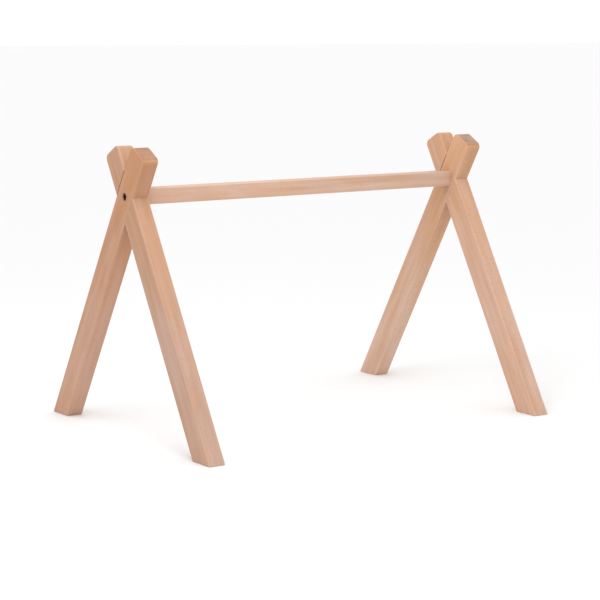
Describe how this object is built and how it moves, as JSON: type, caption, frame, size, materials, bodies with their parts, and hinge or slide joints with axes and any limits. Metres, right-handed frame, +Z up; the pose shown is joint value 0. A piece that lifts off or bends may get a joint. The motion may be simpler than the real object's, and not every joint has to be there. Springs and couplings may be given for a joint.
{
  "type": "activity play gym",
  "caption": "Wooden play gym for a baby: crossed-leg end frames, halved together below short ears, carry a square crossbar for hanging toys.",
  "frame": {"origin": "on the floor, midway between the four feet, under the middle of the crossbar", "axes": "+X along the crossbar to the right end frame, +Y towards the far feet, +Z up from the floor"},
  "size_m": [0.694, 0.498, 0.4714],
  "materials": {
    "beech": "fine-sanded steamed beech, bare",
    "dowel_wood": "turned beech, bare",
    "bolt_steel": "dark zinc-plated",
    "washer_steel": "zinc-plated",
    "insert_brass": "turned"
  },
  "bodies": {
    "root": {"crossbar": "beech", "leg_left_near": "beech", "leg_left_far": "beech", "leg_right_near": "beech", "leg_right_far": "beech", "bolt_left": "bolt_steel", "bolt_right": "bolt_steel", "washer_left": "washer_steel", "washer_right": "washer_steel", "threaded_insert_left": "insert_brass", "threaded_insert_right": "insert_brass", "dowel_left": "dowel_wood", "dowel_right": "dowel_wood"}
  },
  "joints": []
}
